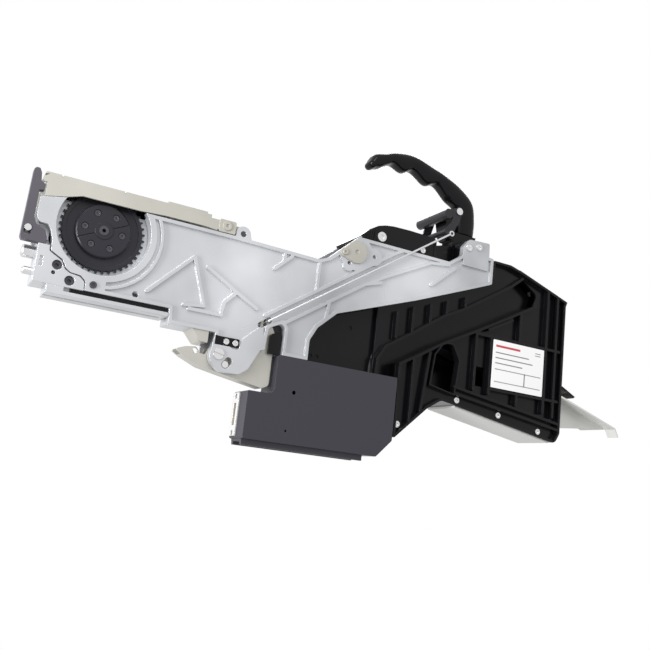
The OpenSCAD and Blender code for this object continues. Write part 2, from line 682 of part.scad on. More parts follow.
// ---------- sprocket and feed drive ----------

bearing_r = shaft_d / 2 + 3.5;
bearing_t = 3.5;

// Outline of the toothed disc: short tapered teeth that enter the feed holes
tooth_root_w = 1.7;
tooth_tip_w = 0.9;
function tooth_points(a) = [for (p = [[root_r, -tooth_root_w / 2], [tip_r, -tooth_tip_w / 2],
        [tip_r, tooth_tip_w / 2], [root_r, tooth_root_w / 2]])
    let (q = atan2(p.y, p.x)) norm(p) * [cos(a + q), sin(a + q)]];
sprocket_outline = [for (i = [0:sprocket_teeth - 1])
    each tooth_points(90 + 360 * i / sprocket_teeth)];

module sprocket_wheel() color([0.13, 0.13, 0.15]) placed() difference() {
    union() {
        plate(sprocket_outline, tooth_y - 0.6, tooth_y + 0.6);
        bar([0, 0], root_r + 0.1, disc_y0, disc_y1);
    }
    // recessed web between the hub and the rim
    difference() {
        bar([0, 0], root_r - 2.2, disc_y0 - 1, disc_y0 + 0.6);
        bar([0, 0], hub_r + 0.3, disc_y0 - 2, disc_y1);
    }
    bar([0, 0], shaft_d / 2, 0, disc_y1 + 1);
    for (i = [0:5]) bar(screw_ring(i), 1.3, 0, disc_y1 + 1);
}

hub_screw_r = 11.6;
function screw_ring(i) = hub_screw_r * [cos(60 * i - 3), sin(60 * i - 3)];

module sprocket_hub() color([0.17, 0.17, 0.19]) placed() difference() {
    union() {
        bar([0, 0], hub_r, hub_y + 0.8, disc_y0);
        translate([0, hub_y + 0.8, 0]) rotate([90, 0, 0])
            cylinder(r1 = hub_r, r2 = hub_r - 0.8, h = 0.8);
        bar([0, 0], 5.4, hub_y - 0.5, hub_y + 0.1);
    }
    bar([0, 0], shaft_d / 2, 0, disc_y1 + 1);
    for (i = [0:5]) {
        bar(screw_ring(i), 2.3, 0, hub_y + 1.4);
        bar(screw_ring(i), 1.2, 0, disc_y1 + 1);
    }
    // split line of the two-part hub
    rotate([0, -26, 0]) for (s = [1, -1])
        block([min(s * 6, s * 18), hub_y - 1, -0.35], [max(s * 6, s * 18), hub_y + 0.6, 0.35]);
}

module hub_screws() color([0.35, 0.35, 0.36]) placed()
    for (i = [0:5]) cap_screw(screw_ring(i), 2, 1, 1.1, disc_y1 - hub_y - 1.4, hub_y + 0.4);

module sprocket_shaft() color("silver") placed() difference() {
    union() {
        bar([0, 0], shaft_d / 2, hub_y - 0.8, far_y - 0.2);
        bar([0, 0], shaft_d / 2 + 1.4, gear_y1, motor_plate_y - 0.2);
    }
    bar([0, 0], 1.2, hub_y - 2, hub_y + 4);
}

module ball_bearing(y) difference() {
    bar([0, 0], bearing_r, y, y + bearing_t);
    bar([0, 0], shaft_d / 2 + fit, y - 1, y + bearing_t + 1);
    for (side = [y - 0.6, y + bearing_t - 0.5]) difference() {
        bar([0, 0], bearing_r - 1.1, side, side + 1.1);
        bar([0, 0], shaft_d / 2 + 1.1, side - 1, side + 2);
    }
}
module shaft_bearings() color([0.72, 0.72, 0.72]) placed() {
    ball_bearing(motor_plate_y);
    ball_bearing(far_y - bearing_t);
}

module drive_gear() color([0.72, 0.62, 0.35]) placed() difference() {
    plate([for (p = gear_outline(gear_teeth, gear_module))
        [p.x * cos(pinion_a) - p.y * sin(pinion_a), p.x * sin(pinion_a) + p.y * cos(pinion_a)]],
        gear_y0, gear_y1);
    bar([0, 0], shaft_d / 2, 0, gear_y1 + 1);
    // six lightening holes
    for (i = [0:5]) bar(13 * [cos(60 * i), sin(60 * i)], 3.6, 0, gear_y1 + 1);
}

module feed_pinion() color([0.75, 0.65, 0.38]) placed() {
    turn = pinion_a + 180 + 180 / pinion_teeth;
    plate([for (p = gear_outline(pinion_teeth, gear_module)) pinion_at
        + [p.x * cos(turn) - p.y * sin(turn), p.x * sin(turn) + p.y * cos(turn)]],
        gear_y0, gear_y1);
    bar(pinion_at, 1.5, gear_y1 - 0.1, motor_y + 3);
}
motor_y = motor_plate_y + motor_plate_t;

module feed_motor() color([0.30, 0.31, 0.33]) placed() difference() {
    union() {
        bar(pinion_at, motor_d / 2, motor_y, far_y - 1.5);
        bar(pinion_at, motor_d / 4, far_y - 1.6, far_y - 0.3);
    }
    bar(pinion_at, 1.5 + fit, motor_y - 1, motor_y + 4);
}

module motor_plate() color([0.09, 0.09, 0.10]) placed() difference() {
    union() {
        plate(rounded([[-30, -12, 6], [-30, 12, 4], [-20, 21.4, 3], [30, 21.4, 3], [60, 12, 4],
            [72, -20, 4], [72, -32, 3], [6, -32, 3], [-12, -28, 6]]),
            motor_plate_y, motor_y);
        bar([0, 0], bearing_r + 2, motor_plate_y, motor_plate_y + bearing_t);
    }
    bar([0, 0], bearing_r, motor_plate_y - 1, motor_plate_y + bearing_t + 1);
    bar(pinion_at, 2.2, motor_plate_y - 1, motor_y + 1);
    for (p = [post_places[0], post_places[1]])
        bar(p, post_d / 2 + fit, motor_plate_y - 1, motor_y + 1);
    for (s = [-1, 1]) bar(pinion_at + s * [0, 7.5], 1.1, motor_plate_y - 1, motor_y + 1);
}

// ---------- tape path ----------

deck_y0 = frame_t + 0.1;
deck_y1 = far_y - 0.1;
deck_line = [[-38, deck_z], [62, deck_z], [100, 15], [150, 12]];
module tape_deck() color([0.62, 0.63, 0.65]) placed() difference() {
    union() {
        for (i = [0:len(deck_line) - 2])
            plate([deck_line[i], deck_line[i + 1], deck_line[i + 1] - [0, deck_t],
                deck_line[i] - [0, deck_t]], deck_y0, deck_y1);
        // inner flange down the far side
        plate([[-36, 16.9], [-36, deck_z - 0.5], [62, deck_z - 0.5], [84, 18], [84, 16.9]],
            deck_y1 - 1.4, deck_y1);
    }
    // slot for the sprocket's teeth
    block([-20, tooth_y - 1.5, deck_z - 6], [20, tooth_y + 1.5, deck_z + 2]);
    // the guide's near hinge arm passes below the slope
    block([60, deck_y0 - 1, 10], [97, frame_t + 0.6, 30]);
}

channel_line = [[150.5, 12], [200, -4], [260, -20], [374, -47.8]];
module tape_channel() color([0.30, 0.30, 0.31]) placed() {
    for (i = [0:len(channel_line) - 2]) {
        a = channel_line[i];
        b = channel_line[i + 1];
        plate([a, b, b - [0, 1.4], a - [0, 1.4]], frame_t + channel_in, far_y - 4);
        plate([a, b, b + [0, 6], a + [0, 6]], far_y - 5.2, far_y - 4);
    }
}
channel_in = channel_depth + 2;

module upper_tape_guide() color([0.72, 0.70, 0.64]) placed() difference() {
    union() {
        // top sheet and raised cover block
        block([-39.5, 0, guide_z0], [66, body_w, guide_z1]);
        block([36.5, 0, guide_z0], [63, body_w, guide_z1 + 1.2]);
        // near skirt
        plate([[-40.5, guide_z1 - 3.4], [-37, guide_z1 - 1], [-32, guide_z1], [66, guide_z1],
            [66, guide_z1 - 2.6], [71, guide_z1 - 2.6], [71, 17.6], [63, 18.4], [36, 18.4],
            [20, 17.4], [-16, 17.4], [-25, 14.6], [-38, 11.8], [-38, 20.6], [-40.5, 20.6]],
            0, guide_t);
        // far skirt and hinge arm
        plate([[-39.5, guide_z1], [66, guide_z1], [72, 25], [hinge_at.x, hinge_at.y + 4.8],
            [hinge_at.x, hinge_at.y - 4.8], [66, 15.4], [-39.5, 15.4]], body_w - guide_t, body_w);
        bar(hinge_at, 4.8, body_w - guide_t, body_w);
        // hinge plate with its screw, and the near hinge arm behind the ear
        plate(rounded([[72, 17.4, 1], [72, 26, 1], [83.6, 26, 1], [83.6, 17.4, 1]]), -0.4, 2.2);
        block([60, 0, 18.6], [73, 2.4, 25]);
        plate([[60, 18.6], [60, 24.6], [hinge_at.x, hinge_at.y + 4.8],
            [hinge_at.x, hinge_at.y - 4.8], [78, 15.6]], 2.1 + 0.2, frame_t - 0.1);
        block([64, 0, 18.6], [83, frame_t - 0.1, 24.4]);
        bar(hinge_at, 4.8, 2.3, frame_t - 0.1);
        bar([77.5, 22], 3, -1.1, 0);
    }
    bar(hinge_at, 2 + fit, 2.2, frame_t + 1);
    bar(hinge_at, 2 + fit, body_w - guide_t - 1, body_w + 1);
    // slot over the sprocket's teeth and the pick-up window
    block([-14, tooth_y - 1.5, guide_z0 - 1], [14, tooth_y + 1.5, guide_z1 + 3]);
    block([-34, tooth_y + 4, guide_z0 - 1], [-8, far_y - 3, guide_z1 + 3]);
    // tension slots of the top sheet's edge, and the recess of the screw
    for (x = [-30.5, 8]) block([x, -1, guide_z1 - 1.4], [x + 1.2, 3, guide_z1 + 1]);
    translate([77.5, -0.6, 22]) rotate([90, 0, 0]) cylinder(r = 1.3, h = 2, $fn = 6);
}

module guide_hinge_pins() color("dimgray") placed() {
    bar(hinge_at, 2, 0.2, frame_t - 0.2);
    bar(hinge_at, 2, far_y, body_w);
}

latch_outline = rounded([[-47.5, -15, 2], [-46.6, 26.5, 1], [-45.6, 28, 1], [-43.4, 28, 1],
    [-42, 25.4, 1], [-41.4, 20.4, 1], [-38.8, 18.8, 0.8], [-38.6, 15.2, 0.5], [-41.6, 14.6, 0],
    [-41.6, -2.6, 1], [-39.6, -6.8, 2], [-34.4, -8.6, 1], [-32.6, -13, 1], [-32.4, -17, 0.5],
    [-46.6, -17, 1]]);
module front_latch() color([0.28, 0.28, 0.30]) placed() difference() {
    plate(latch_outline, 0, frame_t);
    bar(latch_at, 2 + fit, -1, frame_t + 1);
    bar(latch_at - [0, 2.6], 2 + fit, -1, frame_t + 1);
    block([latch_at.x - 2 - fit, -1, latch_at.y - 2.6], [latch_at.x + 2 + fit, frame_t + 1, latch_at.y]);
}
module latch_pin() color("gainsboro") placed()
    bar(latch_at, 2, -0.4, frame_t + run_gap + 4);

// ---------- peel unit under the top cover ----------

peel_y0 = frame_t + 3;
peel_y1 = far_y - 12;
module knurled(at, r, y0, y1, n) {
    plate([for (i = [0:2 * n - 1]) at + (i % 2 == 0 ? r : r - 0.5)
        * [cos(180 * i / n), sin(180 * i / n)]], y0, y1);
}
module peel_roller() color([0.25, 0.25, 0.26]) placed() {
    knurled(peel_at, peel_d / 2, peel_y0, peel_y1, 30);
    bar(peel_at, 2, frame_t + 0.6, peel_y1 + 3);
}
module pinch_roller() color([0.12, 0.12, 0.12]) placed() {
    bar(pinch_at, pinch_d / 2, peel_y0, peel_y1);
    bar(pinch_at, 1.2, frame_t + 0.6, peel_y1 + 1.4);
}
module peel_motor() color([0.32, 0.33, 0.34]) placed() difference() {
    bar(peel_at, peel_d / 2 - 0.4, peel_y1 + 1.6, far_y - 1.6);
    bar(peel_at, 2 + fit, peel_y1, peel_y1 + 4);
}
// Bearing cheeks of the two rollers, on the casting's top edge
module peel_bracket() color("silver") placed() for (y = [frame_t + 0.5, peel_y1 + 0.3]) difference() {
    plate(rounded([[182, 36, 0], [182, 38.6, 1], [pinch_at.x, pinch_at.y + 3.4, 2],
        [peel_at.x, peel_at.y + 4.4, 3], [peel_at.x + 5, peel_at.y, 3], [206, 36, 0]]),
        y, y + 1.2);
    bar(peel_at, 2 + fit, y - 1, y + 2);
    bar(pinch_at, 1.2 + fit, y - 1, y + 2);
}

cover_top = [[178.4, 41], [186, 48], [193, 52.4], [199, 54.2], [206, 55.2], [220.5, 55.6],
    [242.5, 55.2], [245, 53.6]];
top_cover_y0 = 2;
module top_cover() color([0.06, 0.06, 0.07]) placed() difference() {
    union() {
        difference() {
            plate(concat(cover_top, [[245, arm_top_z], [179.2, arm_top_z]]), top_cover_y0,
                body_w - 2);
            // hollow inside, open below and at the back
            plate(concat([for (p = cover_top) [p.x + 1.4, p.y - 1.8]],
                [[247, 51.8], [247, arm_top_z - 1], [181, arm_top_z - 1]]),
                top_cover_y0 + 1.6, body_w - 3.6);
        }
        // grip ribs on the nose
        for (i = [0:4]) strip([180.6 + 1.9 * i, 41.2], [182 + 1.9 * i, 43.4 + 1.5 * i], 0.8,
            top_cover_y0 - 0.5, top_cover_y0 + 0.1);
        for (x = [191, 243.6]) strip([x, arm_top_z + 1], [x, x < 200 ? 50 : 53], 1.6,
            top_cover_y0 - 0.6, top_cover_y0 + 0.1);
    }
    for (p = top_screw_places) bar(p, 1.4, 0, 5);
}
top_screw_places = [[196.4, 44.6], [233, 43]];
module top_cover_screws() color([0.82, 0.82, 0.80]) placed() {
    cap_screw(top_screw_places[0], 3.6, 1.1, 1.3, 0.4, 0.9);
    cap_screw(top_screw_places[1], 2.2, 0.7, 1.3, 0.6, 1.3);
}

module round_cover() color([0.70, 0.69, 0.63]) placed() difference() {
    union() {
        bar(round_at, 8.2, -1.2, 0);
        bar([166.4, 25.4], 3.2, -1.2, 0);
        plate([[166.4, 28.6], [171, 34], [176, 27], [172, 20], [166.4, 22.2]], -1.2, 0);
        bar([166.4, 25.4], 2, -2, -1.1);
    }
    bar(round_at, 1.6, -2, -0.7);
    translate([166.4, -1.5, 25.4]) rotate([90, 0, 0]) cylinder(r = 1, h = 2, $fn = 6);
}

// ---------- electronics box ----------

box_outline = rounded([[107, -114, 1], [107, -82.6, 1], [117.5, -82.6, 0], [125.6, -82.6, 8],
    [125.6, -56.3, 0.6], [220, -56.3, 0.6], [220, -101.5, 2], [208, -114, 2]]);
box_inner = rounded([[108.4, -112.6, 1], [108.4, -84, 1], [120, -84, 0], [127, -84, 8],
    [127, -57.7, 1], [218.6, -57.7, 1], [218.6, -101, 2], [207.4, -112.6, 2]]);
connector_y = box_depth - 10.5;

module box_cover() color([0.25, 0.24, 0.27]) placed() difference() {
    plate(box_outline, 0, sheet_t);
    bar([140, -79.5], 1.4, -1, sheet_t + 1);
    bar([137, -105.5], 0.8, -1, sheet_t + 1);
}

module box_tray() color([0.18, 0.18, 0.20]) placed() difference() {
    plate(box_outline, sheet_t, box_depth);
    plate(box_inner, sheet_t - 1, box_depth - sheet_t);
    // connector opening in the front wall
    block([105, connector_y + 1.4, -107], [109, connector_y + 8.4, -89]);
    // vent slots in the far face
    for (i = [0:7]) block([150 + 7 * i, box_depth - 3, -100], [153 + 7 * i, box_depth + 1, -76]);
}

module box_runner() color([0.16, 0.16, 0.18]) placed() difference() {
    plate([[107.4, -114], [108, -114 - runner_h], [198.5, -114 - runner_h], [198.5, -114]],
        3, box_depth - 3);
    block([100, 6, -115 - runner_h], [205, box_depth - 6, -113 - runner_h + 1.2]);
}

module box_board() color([0.10, 0.32, 0.18]) placed() {
    block([112, box_depth - 6, -110], [204, box_depth - 4.4, -86]);
    block([130, box_depth - 6, -86.1], [214, box_depth - 4.4, -62]);
    // standoffs, chips and headers
    for (p = [[116, -106], [200, -106], [134, -66], [210, -66]])
        bar(p, 2.4, box_depth - 4.5, box_depth - sheet_t);
    for (p = [[140, -100], [165, -98], [186, -80]])
        block([p.x, box_depth - 8, p.y], [p.x + 12, box_depth - 5.9, p.y + 12]);
    block([150, box_depth - 13, -72], [176, box_depth - 5.9, -66]);
}

module box_connector() color([0.85, 0.85, 0.84]) placed() difference() {
    union() {
        plate([[106, -112.4], [106, -83.6], [107, -83.6], [107, -112.4]], connector_y, connector_y + 10);
        block([106.5, connector_y + 1.6, -106.8], [112, connector_y + 8.2, -89.2]);
    }
    block([105, connector_y + 3, -105.4], [111, connector_y + 6.8, -90.6]);
    for (z = [-110.4, -86]) block([105, connector_y + 3.6, z - 1.6], [108, connector_y + 6.4, z + 1.6]);
}

// ---------- rear body ----------

module inner_panel() color([0.07, 0.07, 0.08]) placed() difference() {
    plate(rounded([[147.4, -56, 0], [147.4, -20, 4], [166, -4, 0], [230, 2, 0], [230, -18, 0],
        [203, -34, 6], [200, -50, 0], [200, -56, 0]]), frame_t + 4, frame_t + 6);
    for (x = [153, 158]) bar([x, -51], 1.4, 0, frame_t + 4.8);
    bar([182, -26], 1.6, 0, frame_t + 4.8);
}

rear_corners = [[299.4, 36.5, 0], [299.4, 50.5, 1], [317, 50.5, 6], [330, 47.3, 6],
    [378, 32.6, 0.6], [376.5, 28.5, 1], [376.5, -76, 3], [372, -84.3, 5], [270, -68, 4],
    [260, -66.6, 5], [248.5, -74, 3], [221, -100, 1], [221, -56.2, 0], [201.2, -56.2, 0],
    [201.2, -2, 0], [262, 21.4, 0]];
rear_outline = rounded(rear_corners);
channel_outline = rounded([[202, -58, 0], [202.6, -44.5, 6], [209, -34.5, 6], [229.5, -21.5, 0],
    [257, -3, 0], [275, 6, 0], [319, 33.5, 0], [331, 44, 4], [349, 33, 4], [345, 21.8, 3],
    [306.5, 1, 0], [287.5, -9, 0], [257, -24.5, 0], [237.5, -36.5, 0], [220.8, -45.5, 2],
    [220.8, -58, 0]]);
hex_corners = [[252, -33.5, 2], [259, -23.5, 2], [267, -23.5, 2], [273.5, -34.5, 2],
    [270.8, -60, 1], [249.4, -56, 1]];
hex_outline = rounded(hex_corners);
upper_lip = [[202.2, -57], [202.6, -44.5], [209, -34.5], [229.5, -21.5], [257, -3], [275, 6], [319, 33.5],
    [329.5, 42]];
lower_lip = [[221.9, -57], [221.9, -45.2], [237.5, -36.5], [257, -24.5], [287.5, -9], [306.5, 1], [344, 21.8]];
cover_rib_lines = [
    // pockets between the arm and the channel
    [[229.5, -2], [229.5, -20]], [[244.5, 3], [244.5, -11]], [[259, 8.5], [259, -2]],
    [[275.6, 15], [275.6, 8]], [[216, -8], [216, -27]],
    // upright ribs below the channel
    [[233.5, -40.5], [233.5, -86]], [[247, -33], [242.5, -77]], [[288.5, -10], [288.5, -54]],
    [[303, -11], [303, -55]], [[330.5, 13], [330.5, -10]], [[330.5, -50.5], [330.5, -60]],
    [[357.6, 37], [357.6, -62]], [[368, 34], [368, -64]],
    // cross ribs
    [[288.5, -10.4], [372, -10.4]], [[303, -51], [372, -51]], [[300, -5.2], [322, 6.4]],
    // doubled lower rail
    [[271, -54.5], [374, -68.6]], [[272, -59.5], [375, -73.5]]];

// Outer walls of a moulded half; its front edge stays open
module cover_walls() difference() {
    polygon(rear_outline);
    polygon(inset(rear_corners, wall));
    polygon([[190, -66], [190, 45], [298, 45], [298, 30], [250, 0], [250, -56], [222.9, -56],
        [222.9, -66]]);
}
module in_rear() intersection() {
    polygon(rear_outline);
    union() children();
}
module channel_lips() in_rear() {
    rib_line(upper_lip, cover_rib);
    rib_line(lower_lip, cover_rib);
}
module hex_lip() difference() {
    polygon(inset(hex_corners, -cover_rib / 2));
    polygon(hex_outline);
}
slot_window = [[291, -35], [300.6, -35], [300.6, -50], [291, -50]];

// Slot in the rear wall for the tape
module tape_entry() block([370, frame_t + 2, -47], [380, far_y - 2, -38]);

module rear_cover() color([0.07, 0.07, 0.08]) placed() difference() {
    floor_y = cover_y0 + channel_depth;
    union() {
        // open layer of ribs, lips and rims
        slab(cover_y0, cover_wall_y) {
            cover_walls();
            channel_lips();
            hex_lip();
            in_rear() for (line = cover_rib_lines) rib_line(line, cover_rib);
        }
        // the cover's wall
        slab(cover_wall_y, cover_wall_y + wall) {
            difference() {
                polygon(rear_outline);
                polygon(channel_outline);
                polygon(hex_outline);
                polygon(slot_window);
            }
            channel_lips();
        }
        slab(cover_wall_y + wall, floor_y) {
            cover_walls();
            channel_lips();
        }
        // floor of the diagonal channel
        slab(floor_y, floor_y + wall) {
            cover_walls();
            channel_lips();
            in_rear() polygon(channel_outline);
        }
        slab(floor_y + wall, mid_y - 0.05) cover_walls();
    }
    tape_entry();
    // clearance along the casting's arm
    plate([[190, -10.9], [230.5, 3.1], [280, 22.6], [298.9, 30.1], [298.9, 45], [190, 45]],
        -1, cover_wall_y);
    for (p = rail_screw_places) bar(p, 1.4, 0, 10);
    bar(tab_screw_at, 1.3, 0, 10);
    button_holes();
}

module rear_cover_far() color([0.07, 0.07, 0.08]) placed() difference() {
    union() {
        slab(mid_y + 0.05, body_w - 3.4) cover_walls();
        plate(rear_outline, body_w - 3.4, body_w - 1.6);
        slab(body_w - 1.6, body_w) in_rear() {
            for (x = [238, 262, 286, 310, 334, 358]) polygon(rib_outline([x, 50], [x, -100], cover_rib));
            for (z = [-40, -12, 14]) polygon(rib_outline([200, z], [380, z], cover_rib));
        }
    }
    tape_entry();
    // clearance under the far side plate
    plate([[190, -13], [200, -10.5], [262, 13.4], [293.6, 33.6], [293.6, 45], [190, 45]],
        far_y - 0.4, body_w + 1);
    button_holes();
}

rail_screw_places = [[276.5, -63.8], [316.5, -69.6], [357, -76.8]];
tab_screw_at = [225.8, -88.8];
module cover_screws() color([0.80, 0.80, 0.80]) placed() {
    for (p = rail_screw_places) cap_screw(p, 2.3, 1, 1.3, 2, cover_wall_y - 1);
    cap_screw(tab_screw_at, 2.4, 1, 1.2, 1.6, cover_wall_y - 1);
}

module rear_bottom_plate() color([0.72, 0.72, 0.71]) placed()
    plate([bottom_at(273), bottom_at(367), bottom_at(366) - [0, 1.2], bottom_at(274) - [0, 1.2]],
        2.5, body_w - 2.5);
// A point on the rear body's sloping underside
function bottom_at(x) = [x, -68 - 16.3 * (x - 270) / 102];

// Holes in the covers' sloping top for the buttons' stems
module button_holes()
    for (p = button_places) panel_place() translate([p.x, p.y, -4]) cylinder(r = 2.6, h = 8);

module rating_plate() color([0.93, 0.93, 0.93]) placed()
    plate(rounded([[304.5, -12 - label_h, 0.6], [304.5, -12, 0.6], [304.5 + label_l, -12, 0.6],
        [304.5 + label_l, -12 - label_h, 0.6]]), cover_y0 - 0.5, cover_y0);

// Sloping tape ramp at the rear, folded from sheet
ramp_t = 1;
module rear_ramp() color([0.66, 0.66, 0.65]) placed() {
    plate([[376.6, -45.4], [381, -46.6], [437.5, -63.4], [441.4, -70.4], [440.4, -70.8],
        [436.8, -64.4], [380, -47.7], [376.6, -46.8]], 0.6, 11.4);
    plate([[376.6, -45.4], [381, -46.6], [437.5, -63.4], [436.8, -64.4], [380, -47.7],
        [376.6, -46.8]], 11.3, body_w - 0.6);
    // upright stiffener below the ramp
    plate([[376.6, -46], [390, -50.2], [434, -63.4], [434, -64.2], [376.6, -71]],
        11.3, 11.3 + ramp_t);
    block([376.6, 2, -71], [377.4, body_w - 2, -46]);
}

module entry_guide() color([0.06, 0.06, 0.07]) placed()
    plate([[376.7, -36.2], [380, -37.4], [393.4, -43.6], [391.5, -45], [386, -41.6],
        [376.7, -38.6]], 3, body_w - 3);

// ---------- operation panel on the sloping top ----------

panel_l = 44;
panel_w = 24;
panel_t = 4.5;
button_places = [[-12, 0], [2, 0]];
lamp_place = [14, 0];
module panel_place()
    translate([352, mid_y, 40.6]) rotate([0, 17, 0]) children();

flange_t = 1.1;
module operation_panel() color([0.16, 0.17, 0.19]) placed() panel_place() difference() {
    translate([-panel_l / 2, -panel_w / 2, 0]) cube([panel_l, panel_w, panel_t]);
    for (p = button_places) {
        translate([p.x, p.y, -1]) cylinder(d = button_d + 0.3, h = panel_t + 2);
        // pocket for the button's flange
        translate([p.x, p.y, -1]) cylinder(d = button_d + 2, h = button_rest + flange_t + 1);
    }
    translate([lamp_place.x, lamp_place.y, 1.5]) cylinder(r = 2, h = panel_t);
}
button_rest = button_travel + 0.3;
module push_button(p) placed() panel_place() translate([p.x, p.y, button_rest]) {
    cylinder(d = button_d, h = panel_t - 0.6);
    translate([0, 0, panel_t - 0.6]) cylinder(d1 = button_d, d2 = button_d - 1, h = 0.6);
    cylinder(d = button_d + 1.4, h = flange_t);
    // stem towards the switch
    translate([0, 0, -6]) cylinder(r = 1.5, h = 6);
}
module button_forward() color([0.20, 0.45, 0.30]) push_button(button_places[0]);
module button_back() color([0.75, 0.75, 0.74]) push_button(button_places[1]);
module status_lamp() color([0.80, 0.25, 0.15]) placed() panel_place()
    translate([lamp_place.x, lamp_place.y, 1.5]) {
        cylinder(r = 2, h = panel_t - 1.6);
        translate([0, 0, panel_t - 1.6]) cylinder(r1 = 2, r2 = 1.1, h = 0.8);
    }

main_frame();
far_frame();
frame_posts();
nose_block();
upper_locating_pin();
lower_locating_pin();
nose_screws();
bottom_rail();
clamp_jaw();
clamp_strip();
strip_screws();
cable_guard();
clamp_lever();
clamp_pivot_screw();
clamp_stop_pin();
release_rod();
trigger();
trigger_pin();
handle_grip();
handle_post();
handle_screws();
top_cover();
top_cover_screws();
round_cover();
sprocket_wheel();
sprocket_hub();
hub_screws();
sprocket_shaft();
shaft_bearings();
drive_gear();
feed_pinion();
feed_motor();
motor_plate();
tape_deck();
tape_channel();
upper_tape_guide();
guide_hinge_pins();
front_latch();
latch_pin();
peel_roller();
pinch_roller();
peel_motor();
peel_bracket();
box_cover();
box_tray();
box_runner();
box_board();
box_connector();
inner_panel();
rear_cover();
rear_cover_far();
rear_bottom_plate();
rating_plate();
cover_screws();
rear_ramp();
entry_guide();
operation_panel();
button_forward();
button_back();
status_lamp();
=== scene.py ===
# %% [markdown]
# # An electric tape feeder
# This lesson dresses a finished mechanical model of a tape feeder, the cassette that brings reels of
# small electronic parts to a placement machine. The solids come in as a frame that never moves.
# Everything here is about light, finish and the small softness that makes metal and plastic look real.

# %% Load the frame
import json
import math

import bmesh
import bpy
from mathutils import Matrix, Vector


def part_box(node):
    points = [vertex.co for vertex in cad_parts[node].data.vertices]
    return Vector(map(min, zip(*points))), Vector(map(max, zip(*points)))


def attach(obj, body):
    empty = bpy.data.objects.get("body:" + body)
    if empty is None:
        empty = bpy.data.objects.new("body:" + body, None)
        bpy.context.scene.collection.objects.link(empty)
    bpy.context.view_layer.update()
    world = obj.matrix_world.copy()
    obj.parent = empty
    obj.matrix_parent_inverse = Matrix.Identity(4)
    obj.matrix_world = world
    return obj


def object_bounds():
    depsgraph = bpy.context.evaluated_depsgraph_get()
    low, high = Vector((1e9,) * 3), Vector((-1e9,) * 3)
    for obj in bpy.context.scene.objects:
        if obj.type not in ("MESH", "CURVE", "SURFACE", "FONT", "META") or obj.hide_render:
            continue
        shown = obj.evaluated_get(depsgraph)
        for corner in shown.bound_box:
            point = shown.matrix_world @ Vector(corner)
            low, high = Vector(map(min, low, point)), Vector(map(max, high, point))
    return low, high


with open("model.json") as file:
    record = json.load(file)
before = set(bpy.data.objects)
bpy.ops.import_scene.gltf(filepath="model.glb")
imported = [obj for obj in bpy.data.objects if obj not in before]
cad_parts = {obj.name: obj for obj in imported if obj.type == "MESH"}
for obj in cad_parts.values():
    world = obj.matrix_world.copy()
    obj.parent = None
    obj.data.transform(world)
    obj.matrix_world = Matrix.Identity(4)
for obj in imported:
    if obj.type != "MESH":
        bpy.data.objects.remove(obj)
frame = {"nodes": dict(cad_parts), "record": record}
cad_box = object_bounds()
nodes = frame["nodes"]
MM = 0.001
print("pieces in the frame:", len(nodes))

# %% [markdown]
# ## The camera
# The feeder is seen from its near side, a little from the front and from below, as if it were held up
# by its rear end. A camera can be aimed by a Track To constraint or by hand. A camera looks along its
# own -Z axis, so three angles and a place are enough, and no constraint is needed for a still view.
# The place is given in millimetres from the frame's origin.

# %% Camera
CAMERA_LENS = 45.3  # mm
CAMERA_SENSOR = 36.0  # mm
CAMERA_PLACE = (-54.2, -505.0, -122.1)  # mm
CAMERA_ANGLES = (101.716, -6.282, -27.914)  # degrees

camera_data = bpy.data.cameras.new("camera")
camera_data.lens = CAMERA_LENS
camera_data.sensor_width = CAMERA_SENSOR
camera = bpy.data.objects.new("camera", camera_data)
camera.location = Vector(CAMERA_PLACE) * MM
camera.rotation_euler = [math.radians(angle) for angle in CAMERA_ANGLES]
bpy.context.scene.collection.objects.link(camera)
bpy.context.scene.camera = camera
print("camera set, lens", camera_data.lens, "mm")

# %% [markdown]
# ## A white studio
# The world does two jobs. What the camera, a mirror or clear plastic sees is plain white, and what
# lights the feeder is a softer grey, so that the background stays clean while the shapes keep their
# shading. The Light Path node tells the two kinds of ray apart, and the three flags are added up.

# %% World
LIGHT_STRENGTH = 0.52
SEEN_STRENGTH = 1.0

scene = bpy.context.scene
scene.view_settings.view_transform = "Standard"
world = bpy.data.worlds.new("studio")
world.use_nodes = True
scene.world = world
tree = world.node_tree
tree.nodes.clear()
path = tree.nodes.new("ShaderNodeLightPath")
shown = path.outputs["Is Camera Ray"]
for flag in ("Is Glossy Ray", "Is Transmission Ray"):
    add = tree.nodes.new("ShaderNodeMath")
    add.use_clamp = True
    tree.links.new(shown, add.inputs[0])
    tree.links.new(path.outputs[flag], add.inputs[1])
    shown = add.outputs[0]
shades = []
for strength in (LIGHT_STRENGTH, SEEN_STRENGTH):
    background = tree.nodes.new("ShaderNodeBackground")
    background.inputs["Color"].default_value = (1, 1, 1, 1)
    background.inputs["Strength"].default_value = strength
    shades.append(background.outputs[0])
mix = tree.nodes.new("ShaderNodeMixShader")
tree.links.new(shown, mix.inputs["Fac"])
tree.links.new(shades[0], mix.inputs[1])
tree.links.new(shades[1], mix.inputs[2])
tree.links.new(mix.outputs[0], tree.nodes.new("ShaderNodeOutputWorld").inputs["Surface"])
print("world mixes", len(shades), "strengths")

# %% [markdown]
# ## Three soft lamps
# A broad key lamp stands high on the front left and gives the casting its bright flanks. A long lamp
# low on the left draws the pale lines along every moulded rib that faces it. A third one behind the
# feeder lifts the handle off the background. Area lamps are chosen over point lamps because a wide
# source leaves a wide, soft glint on the castings, as the windows of a workshop do.

# %% Lamps
middle = (cad_box[0] + cad_box[1]) / 2


